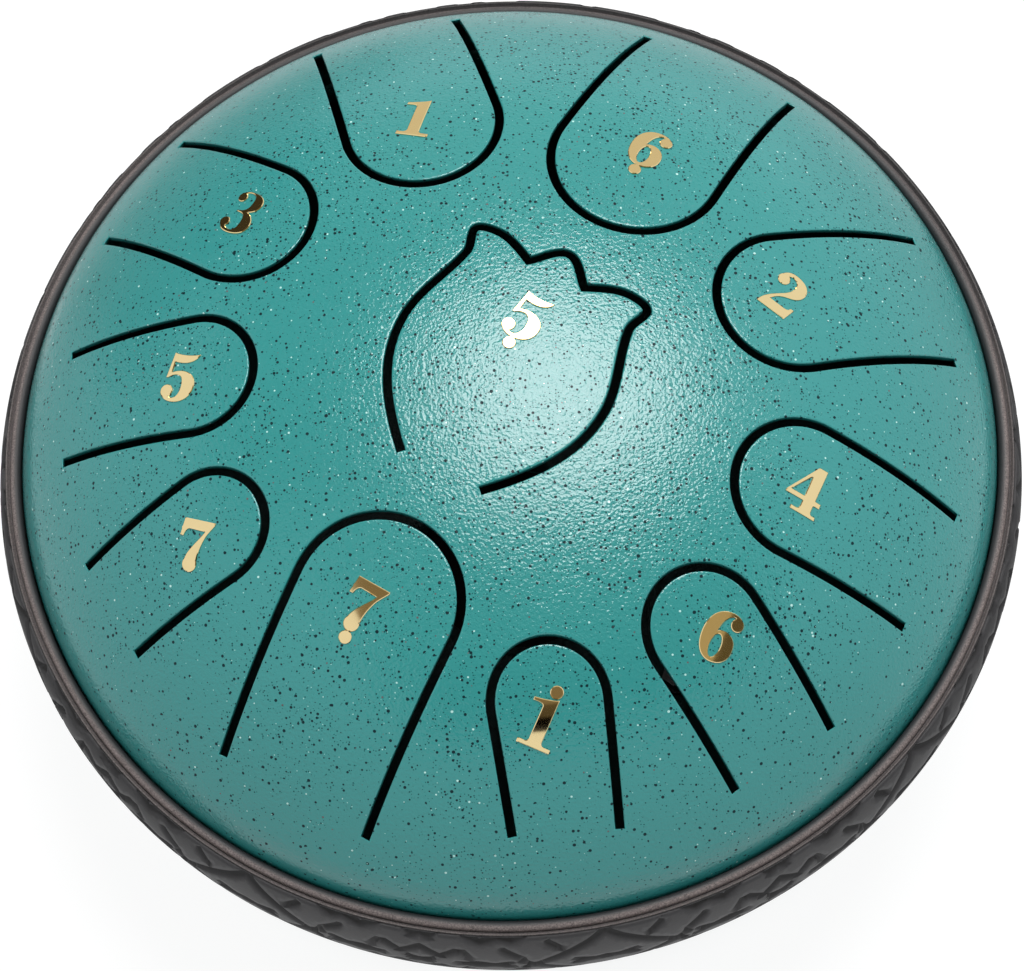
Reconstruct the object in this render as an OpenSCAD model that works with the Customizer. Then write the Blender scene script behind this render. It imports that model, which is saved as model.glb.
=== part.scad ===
// Steel tongue drum: two pressed steel bowls joined rim to rim, eleven tongues cut
// in the upper bowl, gold numerals beside them, a rubber band round the seam and
// four screwed rubber feet. The origin lies on the surface the drum stands on.

/* [Bowls] */
// Outer radius of both bowls at the seam
shell_r = 119; // [112:1:122]
// Thickness of the steel sheet
sheet_t = 1.5; // [1:0.1:2]
// Radius of the shallow crown arc of a bowl
crown_r = 230; // [200:5:260]
// Radius of the haunch arc between crown and knuckle
haunch_r = 97; // [88:1:104]
// Radius of the knuckle arc where the dome turns into the wall
knuckle_r = 22; // [16:1:28]
// Slope of the dome in degrees where haunch meets knuckle
knuckle_turn = 51; // [46:1:56]
// Height of the straight wall between knuckle and seam
wall_h = 11; // [8:0.5:16]
// Width of the joining flange outside the wall
flange_w = 3; // [1:0.5:4]
// Radius of the round sound hole in the lower bowl
sound_hole_r = 25; // [15:1:30]

/* [Tongues] */
// Width of every slot
slot_w = 2.1; // [1:0.1:3]
// Distance from the bowls' wall in to the root circle of the ten outer tongues
slot_root_gap = 11.8; // [10:0.2:15]
// Length of the tulip tongue from its open root to its middle tip
tulip_l = 61.8; // [54:0.2:64]
// Width of the tulip tongue between the slot's centre lines
tulip_w = 52.6; // [44:0.2:54]
// Distance of the tulip's root behind the drum's axis
tulip_back = 30.2; // [26:0.2:34]
// Width by which the tulip is set off to the right of the drum's axis
tulip_off_w = 0.75; // [0:0.05:2]
// Direction in which the tulip points, in degrees
tulip_turn = 57; // [0:1:359]

/* [Numerals] */
// Height of a digit
digit_h = 12.3; // [8:0.1:13]
// Thickness of the metal the numerals are made of
digit_t = 0.3; // [0.1:0.05:0.6]
// Thickness of the glue under a numeral
digit_glue = 0.05; // [0.05:0.01:0.2]
// Radius of an octave dot
dot_r = 1.55; // [1:0.05:1.8]
// Distance from the middle of a digit to the middle of its octave dot
dot_drop = 7.6; // [7.2:0.1:9]

/* [Rubber band] */
// How far the band stands out from the bowls at half its height
band_t = 7; // [5:0.5:11]
// Height of the band's tread
band_h = 29.4; // [24:0.2:34]
// How far the tread bulges from its edges to its middle
band_bulge = 2.7; // [1:0.1:3]
// Width of the two lips that hug the bowls
lip_w = 2.4; // [1.5:0.1:3]
// How far a lip stands above the tread
lip_up = 0.6; // [0:0.1:2]
// Depth of the groove between lip and tread
lip_groove_d = 2; // [0.5:0.1:3]
// Width of the flat rim between that groove and the tread
tread_rim = 0.4; // [0.2:0.1:0.8]
// Clearance of the band round bowls and flange
band_gap = 0.2; // [0.1:0.05:0.4]

/* [Feet] */
// Radius of the circle on which the feet are screwed
foot_circle_r = 56; // [50:1:62]
// Gap between the lowest point of the bowl and the ground
stand_gap = 4.4; // [3:0.2:8]
// Radius of a foot where it meets the bowl
foot_top_r = 11; // [9:0.5:14]
// Radius of a foot where it meets the ground
foot_base_r = 9; // [8:0.5:12]
// Thickness of the rubber that a screw clamps
foot_pad = 5; // [3:0.5:6]
// Clearance between a foot, its washers and the bowl
seat_gap = 0.1; // [0.05:0.05:0.3]
// Radius of a foot screw's thread
screw_r = 2; // [1.5:0.25:2.5]
// Length of a foot screw under its head
screw_l = 12; // [12:0.5:16]
// Radius of a foot screw's head
head_r = 3.8; // [3.4:0.1:4.2]
// Height of a foot screw's head
head_h = 2.4; // [1.5:0.1:3]
// Radius of a washer
washer_r = 4.5; // [4.4:0.1:5.5]
// Thickness of a washer
washer_t = 0.8; // [0.5:0.1:1.2]
// Width of a nut across its corners
nut_w = 8.1; // [7.6:0.1:9]
// Height of a nut
nut_h = 3.2; // [2.4:0.1:3.4]
// Clearance of a screw in the holes it passes
hole_gap = 0.15; // [0.1:0.05:0.4]
// Clearance of a washer in a foot's recess
recess_gap = 0.5; // [0.2:0.1:1]

/* [Hidden] */
$fn = 96;

teal_paint = [0.27, 0.57, 0.55];
gold_metal = [0.80, 0.66, 0.38];
dark_rubber = [0.20, 0.20, 0.20];
bare_steel = [0.68, 0.69, 0.70];

// Overrun of every cut past the faces it goes through
cut = 1;

// Arc centres of a bowl, measured from the axis and from the seam
knuckle_c = [shell_r - knuckle_r, wall_h];
haunch_c = knuckle_c
    - (haunch_r - knuckle_r) * heading(knuckle_turn);
crown_turn = asin(haunch_c[0] / (crown_r - haunch_r));
crown_c = haunch_c - (crown_r - haunch_r) * heading(crown_turn);
dome_h = crown_c[1] + crown_r;
seam_z = stand_gap + dome_h;
// Radii at which crown, haunch and knuckle meet
crown_end_r = crown_r * sin(crown_turn);
haunch_end_r = haunch_c[0] + haunch_r * sin(knuckle_turn);
// A wedge that bounds an arc reaches past it by this share
wedge_share = 1.25;
// The core of a bowl's section reaches out by this share of each arc's radius
core_share = 0.9;
// Angle by which each arc starts before the one it follows ends
lap_turn = 4;

// Ten outer slots: direction; centre, radius and taper as shares of shell_r; turn of
// the tongue against that direction; and how far its left and its right leg run out
// past the root circle, as shares of shell_r
slot_shares = [
    [101.9, 0.5855, 0.1575, 0.0065, -0.8, 0.039, 0.031],
    [55.4, 0.535, 0.1725, 0.004, 1.7, 0.018, 0.024],
    [11.2, 0.591, 0.1475, 0.005, 1.1, 0.021, 0.013],
    [-26.5, 0.629, 0.135, 0.0045, 0.2, 0.020, 0.003],
    [-57.5, 0.649, 0.116, 0.0025, -0.9, 0.013, 0.003],
    [-86.7, 0.666, 0.112, 0.0095, 0, -0.009, -0.019],
    [-121.5, 0.5315, 0.166, 0.0055, -0.4, 0.013, -0.005],
    [-156.4, 0.644, 0.112, 0.006, 0.2, -0.019, -0.013],
    [174, 0.610, 0.123, 0.006, 0.6, -0.009, -0.010],
    [140.9, 0.626, 0.139, 0.0045, -0.8, 0.024, 0.034]
];

// Right half of the tulip: along as a share of tulip_l, across as a share of
// half of tulip_w. Three points are a curve, the last of them its end.
tulip_start_share = [0, 0.392];
tulip_belly_shares = [
    [[0.149, 0.753], [0.294, 1], [0.489, 1]],
    [[0.602, 1], [0.723, 0.848], [0.828, 0.816]],
    [[0.861, 0.806], [0.893, 0.867], [0.926, 0.871]],
    [[0.948, 0.871], [0.960, 0.798], [0.960, 0.665]],
    [[0.960, 0.540], [0.930, 0.414], [0.901, 0.281]],
    [[0.926, 0.205], [1, 0.114], [1, 0]]
];
tulip_steps = 6;
// Flats round the top of a lip
lip_steps = 8;
// Flats round the tip of an outer slot
tip_steps = 20;

// Digit outlines as shares of digit_h, each from a start point round the digit
digit_1_shares = [[0.01, 0], [
    [[0.66, 0]], [[0.66, 0.08]], [[0.53, 0.08]],
    [[0.49, 0.085], [0.46, 0.11], [0.46, 0.15]], [[0.46, 1]],
    [[0.335, 0.945], [0.145, 0.91], [0, 0.895]], [[0, 0.835]], [[0.12, 0.835]],
    [[0.16, 0.835], [0.21, 0.82], [0.21, 0.78]], [[0.21, 0.15]],
    [[0.21, 0.11], [0.18, 0.085], [0.14, 0.08]], [[0.01, 0.08]]]];
digit_2_shares = [[0, 0], [
    [[0.63, 0]], [[0.69, 0.29]], [[0.62, 0.29]],
    [[0.59, 0.22], [0.56, 0.21], [0.50, 0.21]], [[0.18, 0.21]],
    [[0.25, 0.36], [0.35, 0.41], [0.50, 0.47]],
    [[0.63, 0.53], [0.69, 0.62], [0.69, 0.74]],
    [[0.69, 0.91], [0.53, 1], [0.34, 1]],
    [[0.16, 1], [0.06, 0.90], [0.06, 0.76]], [[0.20, 0.86]],
    [[0.25, 0.93], [0.44, 0.93], [0.44, 0.74]],
    [[0.44, 0.58], [0.33, 0.50], [0.20, 0.36]],
    [[0.09, 0.25], [0, 0.12], [0, 0]]]];
digit_3_shares = [[0.07, 0.83], [
    [[0.07, 0.94], [0.15, 1], [0.31, 1]],
    [[0.55, 1], [0.69, 0.91], [0.69, 0.76]],
    [[0.69, 0.64], [0.60, 0.56], [0.48, 0.53]],
    [[0.63, 0.49], [0.71, 0.38], [0.71, 0.25]],
    [[0.71, 0.085], [0.55, 0], [0.34, 0]],
    [[0.14, 0], [0.02, 0.095], [0.02, 0.22]], [[0.17, 0.14]],
    [[0.24, 0.05], [0.45, 0.02], [0.455, 0.25]],
    [[0.455, 0.39], [0.435, 0.47], [0.34, 0.49]], [[0.22, 0.505]], [[0.22, 0.54]],
    [[0.415, 0.54], [0.455, 0.63], [0.455, 0.76]],
    [[0.455, 0.915], [0.395, 0.965], [0.30, 0.965]],
    [[0.24, 0.965], [0.21, 0.95], [0.19, 0.93]]]];
digit_4_shares = [[0.43, 1], [
    [[0.615, 1]], [[0.615, 0.355]], [[0.74, 0.355]], [[0.74, 0.26]],
    [[0.615, 0.26]], [[0.615, 0.13]],
    [[0.615, 0.09], [0.64, 0.07], [0.67, 0.07]], [[0.74, 0.07]], [[0.74, 0]],
    [[0.205, 0]], [[0.205, 0.07]], [[0.305, 0.07]],
    [[0.345, 0.07], [0.375, 0.09], [0.375, 0.13]], [[0.375, 0.26]],
    [[0, 0.26]], [[0, 0.305]]]];
digit_4_hole_shares = [[0.375, 0.775], [0.375, 0.355], [0.085, 0.355]];
digit_5_shares = [[0.10, 1], [
    [[0.24, 0.95], [0.485, 0.95], [0.67, 1]],
    [[0.64, 0.87], [0.485, 0.795], [0.33, 0.795]],
    [[0.26, 0.795], [0.21, 0.80], [0.16, 0.815]], [[0.155, 0.585]],
    [[0.25, 0.645], [0.40, 0.65], [0.495, 0.62]],
    [[0.64, 0.575], [0.71, 0.475], [0.71, 0.34]],
    [[0.71, 0.13], [0.535, 0], [0.32, 0]],
    [[0.14, 0], [0.02, 0.09], [0.02, 0.205]], [[0.20, 0.11]],
    [[0.31, 0.03], [0.43, 0.12], [0.43, 0.30]],
    [[0.43, 0.455], [0.385, 0.55], [0.27, 0.55]],
    [[0.20, 0.55], [0.15, 0.52], [0.09, 0.48]], [[0.05, 0.48]]]];
digit_6_shares = [[0, 0.49], [
    [[0, 0.80], [0.175, 1], [0.44, 1]],
    [[0.605, 1], [0.70, 0.92], [0.70, 0.815]], [[0.56, 0.90]],
    [[0.495, 0.965], [0.37, 0.92], [0.31, 0.715]], [[0.275, 0.58]],
    [[0.33, 0.625], [0.44, 0.635], [0.515, 0.605]],
    [[0.64, 0.56], [0.695, 0.45], [0.695, 0.315]],
    [[0.695, 0.12], [0.555, 0], [0.35, 0]],
    [[0.145, 0], [0, 0.18], [0, 0.49]]]];
digit_6_hole_shares = [[0.233, 0.31], [
    [[0.233, 0.435], [0.28, 0.535], [0.34, 0.535]],
    [[0.40, 0.535], [0.447, 0.435], [0.447, 0.31]],
    [[0.447, 0.185], [0.40, 0.085], [0.34, 0.085]],
    [[0.28, 0.085], [0.233, 0.185], [0.233, 0.31]]]];
digit_7_shares = [[0.03, 1], [
    [[0.695, 1]], [[0.695, 0.96]],
    [[0.64, 0.855], [0.555, 0.755], [0.525, 0.63]],
    [[0.485, 0.51], [0.465, 0.385], [0.465, 0.20]], [[0.195, 0.17]],
    [[0.195, 0.325], [0.27, 0.425], [0.365, 0.57]],
    [[0.435, 0.67], [0.495, 0.755], [0.515, 0.805]], [[0.19, 0.815]],
    [[0.125, 0.81], [0.095, 0.755], [0.075, 0.66]], [[0, 0.66]]]];
// Round ends of the digits: centre and radius
digit_2_ball_shares = [[0.16, 0.76, 0.127]];
digit_3_ball_shares = [[0.11, 0.22, 0.11], [0.15, 0.83, 0.105]];
digit_5_ball_shares = [[0.135, 0.205, 0.134]];
digit_6_ball_shares = [[0.595, 0.815, 0.128]];
digit_7_ball_shares = [[0.33, 0.16, 0.154]];
// Half the width of a digit, which centres it on its place
digit_mid_share = 0.35;
digit_steps = 5;

// Places of the numerals: direction, distance as a share of shell_r, and turn
low_5_share = [55.9, 0.100, -36];
low_6_share = [55.0, 0.573, -31.6];
low_7_share = [-123.5, 0.551, -35.4];
mid_1_share = [102.0, 0.600, -19.2];
mid_2_share = [12.7, 0.583, -39.8];
mid_3_share = [140.0, 0.645, -34.6];
mid_4_share = [-26.2, 0.633, -29.0];
mid_5_share = [174.3, 0.636, -19.5];
mid_6_share = [-56.4, 0.672, -26.5];
mid_7_share = [-155.3, 0.685, -21.3];
high_1_share = [-88.0, 0.701, -27.8];

// Directions of the four feet
front_left_turn = 225;
front_right_turn = 315;
back_left_turn = 135;
back_right_turn = 45;

slot_root_r = shell_r - slot_root_gap;
band_r = shell_r + band_t;
band_bore_r = shell_r + band_gap;
lip_round_r = lip_w / 2;
tread_edge_r = band_r - band_bulge;
// Radius of the arc of the tread, through its two edges and its middle
tread_r = (pow(band_h / 2, 2) + pow(band_bulge, 2)) / (2 * band_bulge);

foot_turn = dome_turn(foot_circle_r);
foot_seat_z = seam_z - dome_z(foot_circle_r);
// Distance from bowl to ground along a foot's own axis
foot_l = foot_seat_z / cos(foot_turn);
foot_recess_z = seat_gap + foot_pad;
head_z = foot_recess_z + washer_t;
inner_z = -sheet_t - seat_gap;

// A point on a cubic curve
function curve_at(p, a, b, q, t) =
    pow(1 - t, 3) * p + 3 * pow(1 - t, 2) * t * a
    + 3 * (1 - t) * t * t * b + pow(t, 3) * q;

// Points along a chain of straight lines and curves, its start left out
function chain(start, parts, steps) = [
    for (i = [0:len(parts) - 1])
        let (part = parts[i],
             from = i == 0 ? start : parts[i - 1][len(parts[i - 1]) - 1])
        each len(part) == 1 ? part
            : [for (k = [1:steps])
                curve_at(from, part[0], part[1], part[2], k / steps)]
];

// Closed outline that starts at a point and doesn't repeat it
function outline(shape, steps) =
    let (rest = chain(shape[0], shape[1], steps),
         last = rest[len(rest) - 1],
         same = last[0] == shape[0][0] && last[1] == shape[0][1])
    [shape[0], for (i = [0:len(rest) - (same ? 2 : 1)]) rest[i]];

function unit(v) = v / norm(v);
// Direction at an angle from the vertical
function heading(turn) = [sin(turn), cos(turn)];
function left_of(v) = [-v[1], v[0]];

// A line moved sideways by d, with mitred corners
function beside(line, d) = [
    for (i = [0:len(line) - 1])
        let (a = i == 0 ? unit(line[1] - line[0]) : unit(line[i] - line[i - 1]),
             b = i == len(line) - 1 ? a : unit(line[i + 1] - line[i]),
             na = left_of(a), nb = left_of(b))
        line[i] + d * (na + nb) / (1 + na * nb)
];

// Where a line that leaves a point inside a circle round the axis comes to it
function run_out(p, way, r) =
    let (along = p * way)
    p + (sqrt(pow(along, 2) - pow(norm(p), 2) + pow(r, 2)) - along) * way;

// Height above the seam and slope of a bowl's outside at a distance from the axis
function dome_turn(r) = r < crown_end_r ? asin(r / crown_r)
    : asin((r - haunch_c[0]) / haunch_r);
function dome_z(r) = r < crown_end_r ? crown_c[1] + crown_r * cos(dome_turn(r))
    : haunch_c[1] + haunch_r * cos(dome_turn(r));

// Puts a thing at a point in two moves, whole units first, which keeps every digit
module put(c) {
    near = [round(c[0]), round(c[1])];
    translate(near)
        translate(c - near)
            children();
}

// Disc sector between two directions measured from the vertical
module sector(c, r, from, to) {
    intersection() {
        put(c)
            circle(r = r);
        put(c)
            polygon([[0, 0], wedge_share * r * heading(from),
                     wedge_share * r * heading(to)]);
    }
}

// Half section of the space under a bowl's skin, inset from its outside. The
// smaller arcs start a lap early, inside the larger ones, and a core backs them.
module bowl_section(inset, below) {
    crown = crown_r - inset;
    haunch = haunch_r - inset;
    knuckle = knuckle_r - inset;
    core_r = knuckle_c[0] + core_share * knuckle;
    intersection() {
        union() {
            sector(crown_c, crown, 0, crown_turn);
            sector(haunch_c, haunch, crown_turn - lap_turn, knuckle_turn);
            sector(knuckle_c, knuckle, knuckle_turn - lap_turn, 90);
            translate([0, -below])
                square([shell_r - inset, wall_h + below]);
            polygon([[0, -below], [0, wall_h],
                     crown_c + core_share * crown * heading(crown_turn),
                     haunch_c + core_share * haunch * heading(knuckle_turn),
                     [core_r, wall_h], [core_r, -below]]);
        }
        translate([0, -below])
            square([shell_r + band_r, dome_h + below - 2 * inset + band_r]);
    }
}

// Pressed bowl with its flange, open side down, seam at height zero
module bowl() {
    rotate_extrude()
        difference() {
            union() {
                bowl_section(0, 0);
                square([shell_r + flange_w, sheet_t]);
            }
            bowl_section(sheet_t, cut);
        }
}

// Flat shape of a slot of even width along a line
module slot_along(line) {
    left = beside(line, slot_w / 2);
    right = beside(line, -slot_w / 2);
    polygon(concat(left, [for (i = [len(right) - 1:-1:0]) right[i]]));
}

// U-shaped slot round one outer tongue, its legs closing in towards the rim
module outer_slot(shares) {
    c = shares[1] * shell_r;
    r = shares[2] * shell_r;
    lean = atan(shares[3] * shell_r / (slot_root_r - c));
    turn = shares[4];
    round_turn = 180 + 2 * lean;
    tip = [for (i = [0:tip_steps])
        [c, 0] + r * heading(lean - turn - round_turn * i / tip_steps)];
    left_end = run_out(tip[0], [cos(turn - lean), sin(turn - lean)],
                       slot_root_r + shares[5] * shell_r);
    right_end = run_out(tip[tip_steps], [cos(turn + lean), sin(turn + lean)],
                        slot_root_r + shares[6] * shell_r);
    rotate([0, 0, shares[0]])
        slot_along(concat([left_end], tip, [right_end]));
}

// Slot that outlines the tulip: round cup, two petals and a raised middle tip
module tulip_slot() {
    size = [tulip_l, tulip_w / 2];
    half = [for (p = concat([tulip_start_share],
                chain(tulip_start_share, tulip_belly_shares, tulip_steps)))
            [p[0] * size[0] - tulip_back, p[1] * size[1]]];
    line = concat(half, [for (i = [len(half) - 2:-1:0]) [half[i][0], -half[i][1]]]);
    rotate([0, 0, tulip_turn])
        translate([0, -tulip_off_w])
            slot_along(line);
}

module top_shell() {
    color(teal_paint)
        translate([0, 0, seam_z])
            difference() {
                bowl();
                for (shares = slot_shares)
                    translate([0, 0, wall_h])
                        linear_extrude(height = dome_h)
                            outer_slot(shares);
                translate([0, 0, wall_h])
                    linear_extrude(height = dome_h)
                        tulip_slot();
            }
}

// Puts a thing on the lower bowl's outside at a foot, its z axis square to the bowl
module at_foot(turn) {
    rotate([0, 0, turn])
        translate([foot_circle_r, 0, foot_seat_z])
            rotate([0, 180 - foot_turn, 0])
                children();
}

module at_feet() {
    for (turn = [front_left_turn, front_right_turn, back_left_turn, back_right_turn])
        at_foot(turn)
            children();
}

module bottom_shell() {
    color(teal_paint)
        difference() {
            translate([0, 0, seam_z])
                mirror([0, 0, 1])
                    bowl();
            cylinder(r = sound_hole_r, h = seam_z / 2);
            at_feet()
                translate([0, 0, -sheet_t - cut])
                    cylinder(r = screw_r + hole_gap, h = sheet_t + 2 * cut);
        }
}

// Section of a lip, with a round top, from the middle of the band outwards
module lip_section(side) {
    top = band_h / 2 + lip_up - lip_round_r;
    polygon(concat(
        [[band_bore_r, 0]],
        [for (i = [0:lip_steps])
            let (turn = 180 * i / lip_steps - 90)
            [band_bore_r + lip_round_r * (1 + sin(turn)),
             side * (top + lip_round_r * cos(turn))]],
        [[band_bore_r + lip_w, 0]]));
}

// Half section of the band's barrel-shaped body
module tread_section() {
    intersection() {
        translate([band_r - tread_r, 0])
            circle(r = tread_r);
        translate([band_bore_r, -band_h / 2])
            square([band_r, band_h]);
    }
}

// Rectangle that starts at x zero and is centred in y
module square_mid(w, h) {
    translate([0, -h / 2])
        square([w, h]);
}

// Band with a barrel tread, two lips that hug the bowls and a slot for the flanges
module rubber_band() {
    groove_w = tread_edge_r - tread_rim - band_bore_r - lip_w;
    color(dark_rubber)
        translate([0, 0, seam_z])
            difference() {
                union() {
                    rotate_extrude()
                        tread_section();
                    for (side = [-1, 1])
                        rotate_extrude()
                            lip_section(side);
                }
                for (side = [-1, 1])
                    rotate_extrude()
                        translate([band_bore_r + lip_w, side * band_h / 2])
                            square_mid(groove_w, 2 * lip_groove_d);
                rotate_extrude()
                    square_mid(shell_r + flange_w + band_gap,
                               2 * (sheet_t + band_gap));
            }
}

// Upright block with a numeral's outline, tall enough to pass through the dome
module block() {
    translate([0, 0, -digit_h / 4])
        linear_extrude(height = digit_h / 2)
            children();
}

module digit(shape_shares, ball_shares, hole) {
    foot_of_digit = -digit_h * [digit_mid_share, 1 / 2];
    translate(foot_of_digit)
        block()
            difference() {
                scale(digit_h)
                    polygon(outline(shape_shares, digit_steps));
                if (len(hole) > 0)
                    scale(digit_h)
                        polygon(hole);
            }
    for (ball = ball_shares)
        translate(foot_of_digit + digit_h * [ball[0], ball[1]])
            block()
                circle(r = digit_h * ball[2], $fn = 48);
}

// Thin metal numeral bent to the dome, with an octave dot below, above or none
module numeral(place_share, dot_side) {
    r = place_share[1] * shell_r;
    color(gold_metal)
        translate([0, 0, seam_z])
            intersection() {
                rotate_extrude()
                    difference() {
                        bowl_section(-digit_glue - digit_t, 0);
                        bowl_section(-digit_glue, cut);
                    }
                rotate([0, 0, place_share[0]])
                    translate([r, 0, dome_z(r)])
                        rotate([0, dome_turn(r), 0])
                            rotate([0, 0, place_share[2] - place_share[0]]) {
                                children();
                                if (dot_side != 0)
                                    translate([0, dot_side * dot_drop])
                                        block()
                                            circle(r = dot_r, $fn = 48);
                            }
            }
}

module digit_1() {
    digit(digit_1_shares, [], []);
}

module digit_2() {
    digit(digit_2_shares, digit_2_ball_shares, []);
}

module digit_3() {
    digit(digit_3_shares, digit_3_ball_shares, []);
}

module digit_4() {
    digit(digit_4_shares, [], digit_4_hole_shares);
}

module digit_5() {
    digit(digit_5_shares, digit_5_ball_shares, []);
}

module digit_6() {
    digit(digit_6_shares, digit_6_ball_shares,
                outline(digit_6_hole_shares, digit_steps));
}

module digit_7() {
    digit(digit_7_shares, digit_7_ball_shares, []);
}

// Rubber foot square to the bowl, with a screw recess, cut level at the ground
module foot(turn) {
    flank_share = (foot_top_r - foot_base_r) / (foot_l - seat_gap);
    reach = foot_l + foot_top_r * tan(foot_turn);
    color(dark_rubber)
        difference() {
            at_foot(turn)
                rotate_extrude()
                    polygon([
                        [screw_r + hole_gap, seat_gap],
                        [foot_top_r, seat_gap],
                        [foot_top_r - flank_share * (reach - seat_gap), reach],
                        [washer_r + recess_gap, reach],
                        [washer_r + recess_gap, foot_recess_z],
                        [screw_r + hole_gap, foot_recess_z]
                    ]);
            translate([0, 0, -reach])
                cylinder(r = band_r, h = reach);
        }
}

module foot_screws() {
    color(bare_steel)
        at_feet()
            translate([0, 0, head_z]) {
                cylinder(r = head_r, h = head_h);
                translate([0, 0, -screw_l])
                    cylinder(r = screw_r, h = screw_l);
            }
}

module washer(z) {
    translate([0, 0, z])
        difference() {
            cylinder(r = washer_r, h = washer_t);
            translate([0, 0, -cut])
                cylinder(r = screw_r + hole_gap, h = washer_t + 2 * cut);
        }
}

module foot_cup_washers() {
    color(bare_steel)
        at_feet()
            washer(foot_recess_z);
}

module inner_washers() {
    color(bare_steel)
        at_feet()
            washer(inner_z - washer_t);
}

module foot_nuts() {
    color(bare_steel)
        at_feet()
            translate([0, 0, inner_z - washer_t - nut_h])
                difference() {
                    cylinder(r = nut_w / 2, h = nut_h, $fn = 6);
                    translate([0, 0, -cut])
                        cylinder(r = screw_r + hole_gap / 2, h = nut_h + 2 * cut);
                }
}

top_shell();
bottom_shell();
rubber_band();
numeral(low_5_share, -1) digit_5();  // numeral_low_5
numeral(low_6_share, -1) digit_6();  // numeral_low_6
numeral(low_7_share, -1) digit_7();  // numeral_low_7
numeral(mid_1_share, 0) digit_1();  // numeral_1
numeral(mid_2_share, 0) digit_2();  // numeral_2
numeral(mid_3_share, 0) digit_3();  // numeral_3
numeral(mid_4_share, 0) digit_4();  // numeral_4
numeral(mid_5_share, 0) digit_5();  // numeral_5
numeral(mid_6_share, 0) digit_6();  // numeral_6
numeral(mid_7_share, 0) digit_7();  // numeral_7
numeral(high_1_share, 1) digit_1();  // numeral_high_1
foot(front_left_turn);  // foot_front_left
foot(front_right_turn);  // foot_front_right
foot(back_left_turn);  // foot_back_left
foot(back_right_turn);  // foot_back_right
foot_screws();
foot_cup_washers();
inner_washers();
foot_nuts();
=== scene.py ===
import math

import bpy
import numpy as np
from mathutils import Matrix, Vector
from mathutils.geometry import delaunay_2d_cdt
from mathutils.kdtree import KDTree


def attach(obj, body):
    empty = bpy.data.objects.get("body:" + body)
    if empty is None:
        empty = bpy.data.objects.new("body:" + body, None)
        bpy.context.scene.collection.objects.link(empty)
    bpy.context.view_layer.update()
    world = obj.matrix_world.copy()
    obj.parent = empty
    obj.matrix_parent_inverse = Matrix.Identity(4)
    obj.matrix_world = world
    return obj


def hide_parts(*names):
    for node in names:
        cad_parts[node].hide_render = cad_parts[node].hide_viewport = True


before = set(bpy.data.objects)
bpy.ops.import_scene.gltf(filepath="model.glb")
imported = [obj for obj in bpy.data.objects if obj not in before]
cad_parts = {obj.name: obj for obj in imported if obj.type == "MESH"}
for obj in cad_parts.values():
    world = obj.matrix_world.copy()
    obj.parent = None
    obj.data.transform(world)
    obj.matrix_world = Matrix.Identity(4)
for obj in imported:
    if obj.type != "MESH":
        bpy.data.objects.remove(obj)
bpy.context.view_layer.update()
body = "root"
mm = 0.001
print("frame loaded with", len(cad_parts), "nodes")


# Shape of the bowls, lengths in millimetres, as in the part's source

bowl = {
    "shellRadius": 119.0,
    "sheet": 1.5,
    "crownRadius": 230.0,
    "haunchRadius": 97.0,
    "knuckleRadius": 22.0,
    "knuckleTurn": math.radians(51),
    "wallHeight": 11.0,
    "flangeWidth": 3.0,
    "standGap": 4.4,
    "clearAbove": 30.0,    # points start this far over the seam to drop on the dome
    "dropSteps": 40,
    "columns": 360,        # points round a bowl
    "knuckleRows": 12,
    "meshEndTurn": math.radians(50.4),  # inside this slope the skin is meshed round the slots
    "outsideStep": 1.6,    # mesh size of the outer skin
    "insideStep": 3.2,
    "meshRoom": (0.7, 0.62),   # steps that the mesh keeps from its border and from the cuts
    "edgeLean": (0.45, 0.15),  # how far the normals of a rounded edge lean over
}


def heading(turn):
    return np.array([math.sin(turn), math.cos(turn)])


def findArcs():
    # crown, haunch and knuckle, each as centre, radius, first slope, last slope
    crown, haunch, knuckle = bowl["crownRadius"], bowl["haunchRadius"], bowl["knuckleRadius"]
    knuckleTurn = bowl["knuckleTurn"]
    knuckleCentre = np.array([bowl["shellRadius"] - knuckle, bowl["wallHeight"]])
    haunchCentre = knuckleCentre - (haunch - knuckle) * heading(knuckleTurn)
    crownTurn = math.asin(haunchCentre[0] / (crown - haunch))
    crownCentre = haunchCentre - (crown - haunch) * heading(crownTurn)
    return [
        (crownCentre, crown, 0.0, crownTurn),
        (haunchCentre, haunch, crownTurn, knuckleTurn),
        (knuckleCentre, knuckle, knuckleTurn, math.pi / 2),
    ]


arcs = findArcs()
seamZ = bowl["standGap"] + arcs[0][0][1] + bowl["crownRadius"]


def unit(ways):
    return ways / np.maximum(np.linalg.norm(ways, axis=-1, keepdims=True), 1e-9)


def aroundAxis(r, direction, z):
    return np.stack([r * np.cos(direction), r * np.sin(direction), z + seamZ + 0 * direction], 1)


def domeTurnAndGap(points):
    # slope of the skin below each point, and how far outside the skin the point is
    r = np.hypot(points[:, 0], points[:, 1])
    z = points[:, 2] - seamZ
    turn, gap = np.zeros_like(r), np.zeros_like(r)
    for centre, radius, first, _ in arcs:
        t = np.arctan2(r - centre[0], z - centre[1])
        g = np.hypot(r - centre[0], z - centre[1]) - radius
        here = (turn > first) | (first == 0)
        turn, gap = np.where(here, t, turn), np.where(here, g, gap)
    return turn, gap


def dropOnDome(points, way, gap):
    # moves points along one direction until they lie at that gap from the skin
    for _ in range(bowl["dropSteps"]):
        points = points - (domeTurnAndGap(points)[1] - gap)[:, None] * np.asarray(way, float)
    return points


def skinBelow(flat, depth=0.0):
    high = np.column_stack([flat, np.full(len(flat), seamZ + bowl["clearAbove"])])
    return dropOnDome(high, (0, 0, 1), -depth)


def skinNormals(points):
    turn = domeTurnAndGap(points)[0]
    r = np.maximum(np.hypot(points[:, 0], points[:, 1]), 1e-9)
    return np.stack([np.sin(turn) * points[:, 0] / r, np.sin(turn) * points[:, 1] / r, np.cos(turn)], 1)


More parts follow.
